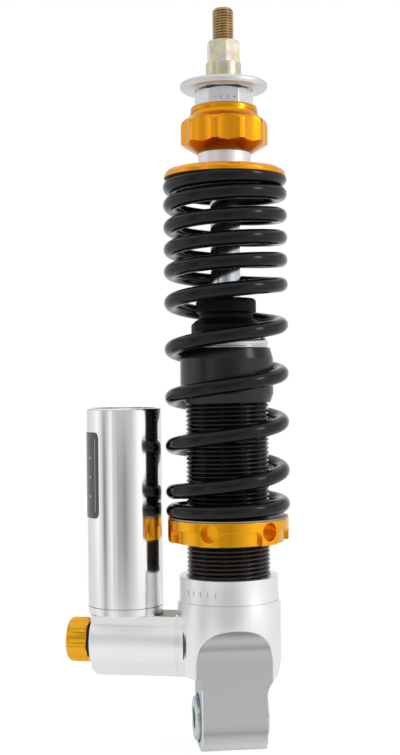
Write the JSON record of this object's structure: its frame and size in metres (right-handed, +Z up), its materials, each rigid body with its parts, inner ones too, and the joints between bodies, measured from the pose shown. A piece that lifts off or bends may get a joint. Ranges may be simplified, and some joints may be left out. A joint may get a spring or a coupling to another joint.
{
  "type": "coilover",
  "caption": "Scooter coilover shock with piggyback reservoir, threaded body, gold preload collar and rebound and compression adjusters, lower bushed eye and upper threaded stud.",
  "frame": {"origin": "centre of the lower eye's bush, on the bolt's axis", "axes": "+X along the bolt of the lower eye, +Z up the damper towards the stud, +Y to the back; the reservoir stands on the -X side"},
  "size_m": [0.1055, 0.0612, 0.3465],
  "materials": {
    "gold_anodised": "orange-gold anodised, satin gloss",
    "milled_aluminium": "fine milled, satin",
    "polished_aluminium": "polished",
    "satin_aluminium": "turned, satin",
    "black_thread": "gloss black anodised",
    "satin_black": "satin black",
    "black_paint": "black powder coat",
    "dark_steel": "blued spring steel",
    "chrome": "hard chrome",
    "zinc": "yellow zinc plated",
    "brass": "turned brass",
    "rubber": "moulded black rubber",
    "ptfe": "filled bearing plastic"
  },
  "bodies": {
    "eye_sleeve": {"bush_sleeve": "zinc"},
    "lower_body": {"bush_rubber": "rubber", "lower_housing": "milled_aluminium", "damper_tube": "black_thread", "guide_sleeve": "satin_black", "seal_head": "satin_aluminium", "rod_bush": "ptfe", "rod_seal": "rubber", "rod_wiper": "rubber", "head_o_ring": "rubber", "bump_stop": "rubber", "reservoir_base": "milled_aluminium", "reservoir_tube": "polished_aluminium", "reservoir_cap": "polished_aluminium", "cap_o_ring": "rubber", "gas_valve": "brass", "reservoir_circlip": "dark_steel", "compression_cartridge": "satin_aluminium", "cartridge_o_ring": "rubber", "compression_click_ball": "chrome", "compression_click_spring": "dark_steel"},
    "rod_body": {"piston_rod": "chrome", "topout_ring": "rubber", "topout_washer": "dark_steel", "compression_shims": "dark_steel", "piston": "satin_aluminium", "piston_band": "ptfe", "rebound_shims": "dark_steel", "shim_washer": "dark_steel", "piston_nut": "dark_steel", "top_mount": "satin_aluminium", "top_stud": "zinc", "sleeve_nut": "zinc", "cup_washer": "satin_aluminium", "top_spring_seat": "gold_anodised", "seat_circlip": "dark_steel", "knob_snap_ring": "dark_steel", "rebound_click_ball": "chrome", "rebound_click_spring": "dark_steel"},
    "spring_perch": {"thrust_washer": "dark_steel", "main_spring": "black_paint"},
    "collar": {"preload_collar": "gold_anodised"},
    "rebound_dial": {"rebound_knob": "gold_anodised"},
    "rebound_needle": {"metering_rod": "chrome", "cross_pin": "chrome", "adjuster_ring": "satin_aluminium"},
    "compression_dial": {"compression_knob": "gold_anodised", "compression_screw": "brass"},
    "compression_needle_body": {"compression_needle": "brass"},
    "floater": {"floating_piston": "satin_aluminium", "floater_o_ring": "rubber"}
  },
  "joints": [
    {"name": "eye_pivot", "type": "hinge", "parent": "eye_sleeve", "child": "lower_body", "pos_m": [0, 0, 0], "axis": [1, 0, 0], "range_deg": [-12, 12], "stiffness_Nm_per_rad": 40},
    {"name": "stroke", "type": "slide", "parent": "lower_body", "child": "rod_body", "axis": [0, 0, -1], "range_m": [0, 0.05], "stiffness_N_per_m": 18000, "springref_m": -0.003, "deforming": ["main_spring"]},
    {"name": "preload_lift", "type": "slide", "parent": "lower_body", "child": "spring_perch", "axis": [0, 0, -1], "range_m": [0, 0.01]},
    {"name": "preload_turn", "type": "hinge", "parent": "spring_perch", "child": "collar", "pos_m": [0, 0, 0.088], "axis": [0, 0, -1], "range_deg": [0, 1810]},
    {"name": "rebound_turn", "type": "hinge", "parent": "rod_body", "child": "rebound_dial", "pos_m": [0, 0, 0.272], "axis": [0, 0, 1], "range_deg": [-170, 170]},
    {"name": "rebound_lift", "type": "slide", "parent": "rod_body", "child": "rebound_needle", "axis": [0, 0, 1], "range_m": [-0.00082, 0.00082]},
    {"name": "compression_turn", "type": "hinge", "parent": "lower_body", "child": "compression_dial", "pos_m": [-0.06712, 0.01988, 0.0345], "axis": [-0.9588, 0.284, 0], "range_deg": [-170, 170]},
    {"name": "compression_lift", "type": "slide", "parent": "lower_body", "child": "compression_needle_body", "axis": [-0.9588, 0.284, 0], "range_m": [-0.000366, 0.000366]},
    {"name": "floater_slide", "type": "slide", "parent": "lower_body", "child": "floater", "axis": [0, 0, 1], "range_m": [0, 0.0112]}
  ],
  "couplings": [
    {"joint": "preload_turn", "follows": "preload_lift", "rad_per_m": 3141.6},
    {"joint": "rebound_turn", "follows": "rebound_lift", "rad_per_m": 3490.7},
    {"joint": "compression_turn", "follows": "compression_lift", "rad_per_m": 7854},
    {"joint": "floater_slide", "follows": "stroke", "ratio": 0.2178}
  ]
}
